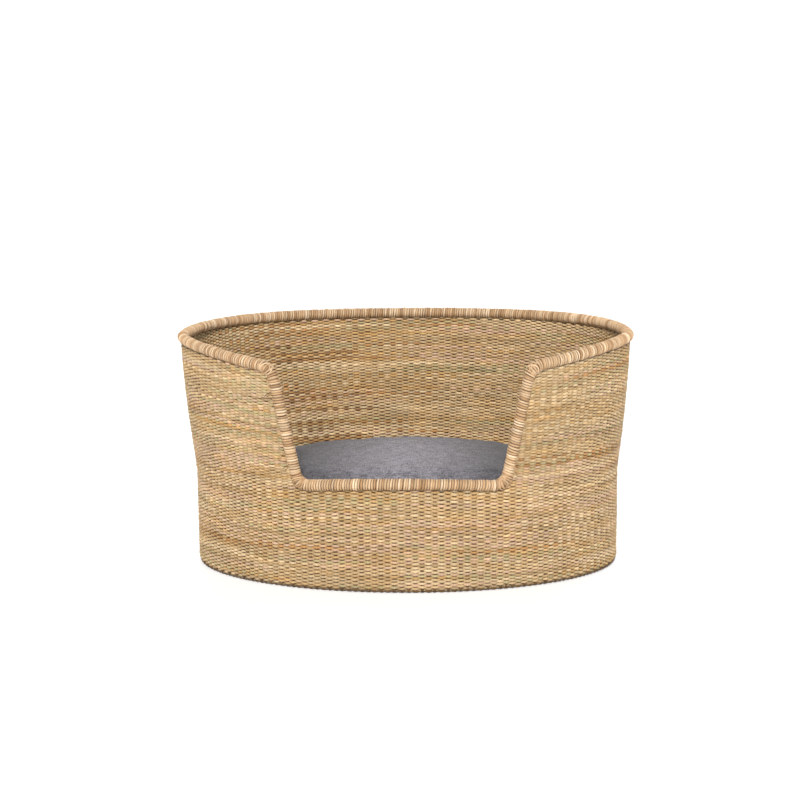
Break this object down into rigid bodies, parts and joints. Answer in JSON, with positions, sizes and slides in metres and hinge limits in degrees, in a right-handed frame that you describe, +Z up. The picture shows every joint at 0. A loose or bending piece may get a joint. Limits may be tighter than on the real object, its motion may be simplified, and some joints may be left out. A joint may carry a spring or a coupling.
{
  "type": "wicker pet bed basket",
  "caption": "Oval woven basket with a high flared back, a low front sill wrapped in twine and a lift-out zipped cushion for a small pet.",
  "frame": {"origin": "middle of the footprint's box, on the surface the basket stands on", "axes": "+Z up, +X along the long side, the low front opening faces -Y"},
  "size_m": [0.5994, 0.3995, 0.3215],
  "materials": {
    "woven_straw": "matte",
    "border_twine": "matte",
    "border_rod_cane": "satin",
    "grey_melange_cloth": "matte",
    "cushion_filling": "matte",
    "zip_tape_cloth": "matte",
    "zip_coil_plastic": "satin",
    "zip_metal": "satin"
  },
  "bodies": {
    "basket": {"base_weave": "woven_straw", "base_hoop": "border_rod_cane", "wall_weave": "woven_straw", "border_rod": "border_rod_cane", "rim_wrap": "border_twine", "left_side_wrap": "border_twine", "right_side_wrap": "border_twine", "sill_wrap": "border_twine", "upper_left_tie": "border_twine", "upper_right_tie": "border_twine", "lower_left_tie": "border_twine", "lower_right_tie": "border_twine"},
    "cushion": {"cushion_core": "cushion_filling", "cover_top_panel": "grey_melange_cloth", "cover_bottom_panel": "grey_melange_cloth", "cover_side_band": "grey_melange_cloth", "zip_panel_upper": "grey_melange_cloth", "zip_panel_lower": "grey_melange_cloth", "zip_tape_upper": "zip_tape_cloth", "zip_tape_lower": "zip_tape_cloth", "zip_coil_upper": "zip_coil_plastic", "zip_coil_lower": "zip_coil_plastic", "zip_stop_closed_end": "zip_metal", "zip_stop_open_end": "zip_metal"},
    "slider": {"zip_slider": "zip_metal"},
    "pull": {"zip_pull": "zip_metal"}
  },
  "joints": [
    {"name": "cushion_lift", "type": "slide", "parent": "basket", "child": "cushion", "axis": [0, 0, 1], "range_m": [0, 0.33]},
    {"name": "zip_slide", "type": "hinge", "parent": "cushion", "child": "slider", "pos_m": [0, -0.24749, 0.0523], "axis": [0, 0, 1], "range_deg": [0, 40]},
    {"name": "zip_pull_swing", "type": "hinge", "parent": "slider", "child": "pull", "pos_m": [0.14234, 0.14358, 0.0523], "axis": [0, 0, -1], "range_deg": [0, 14]}
  ]
}
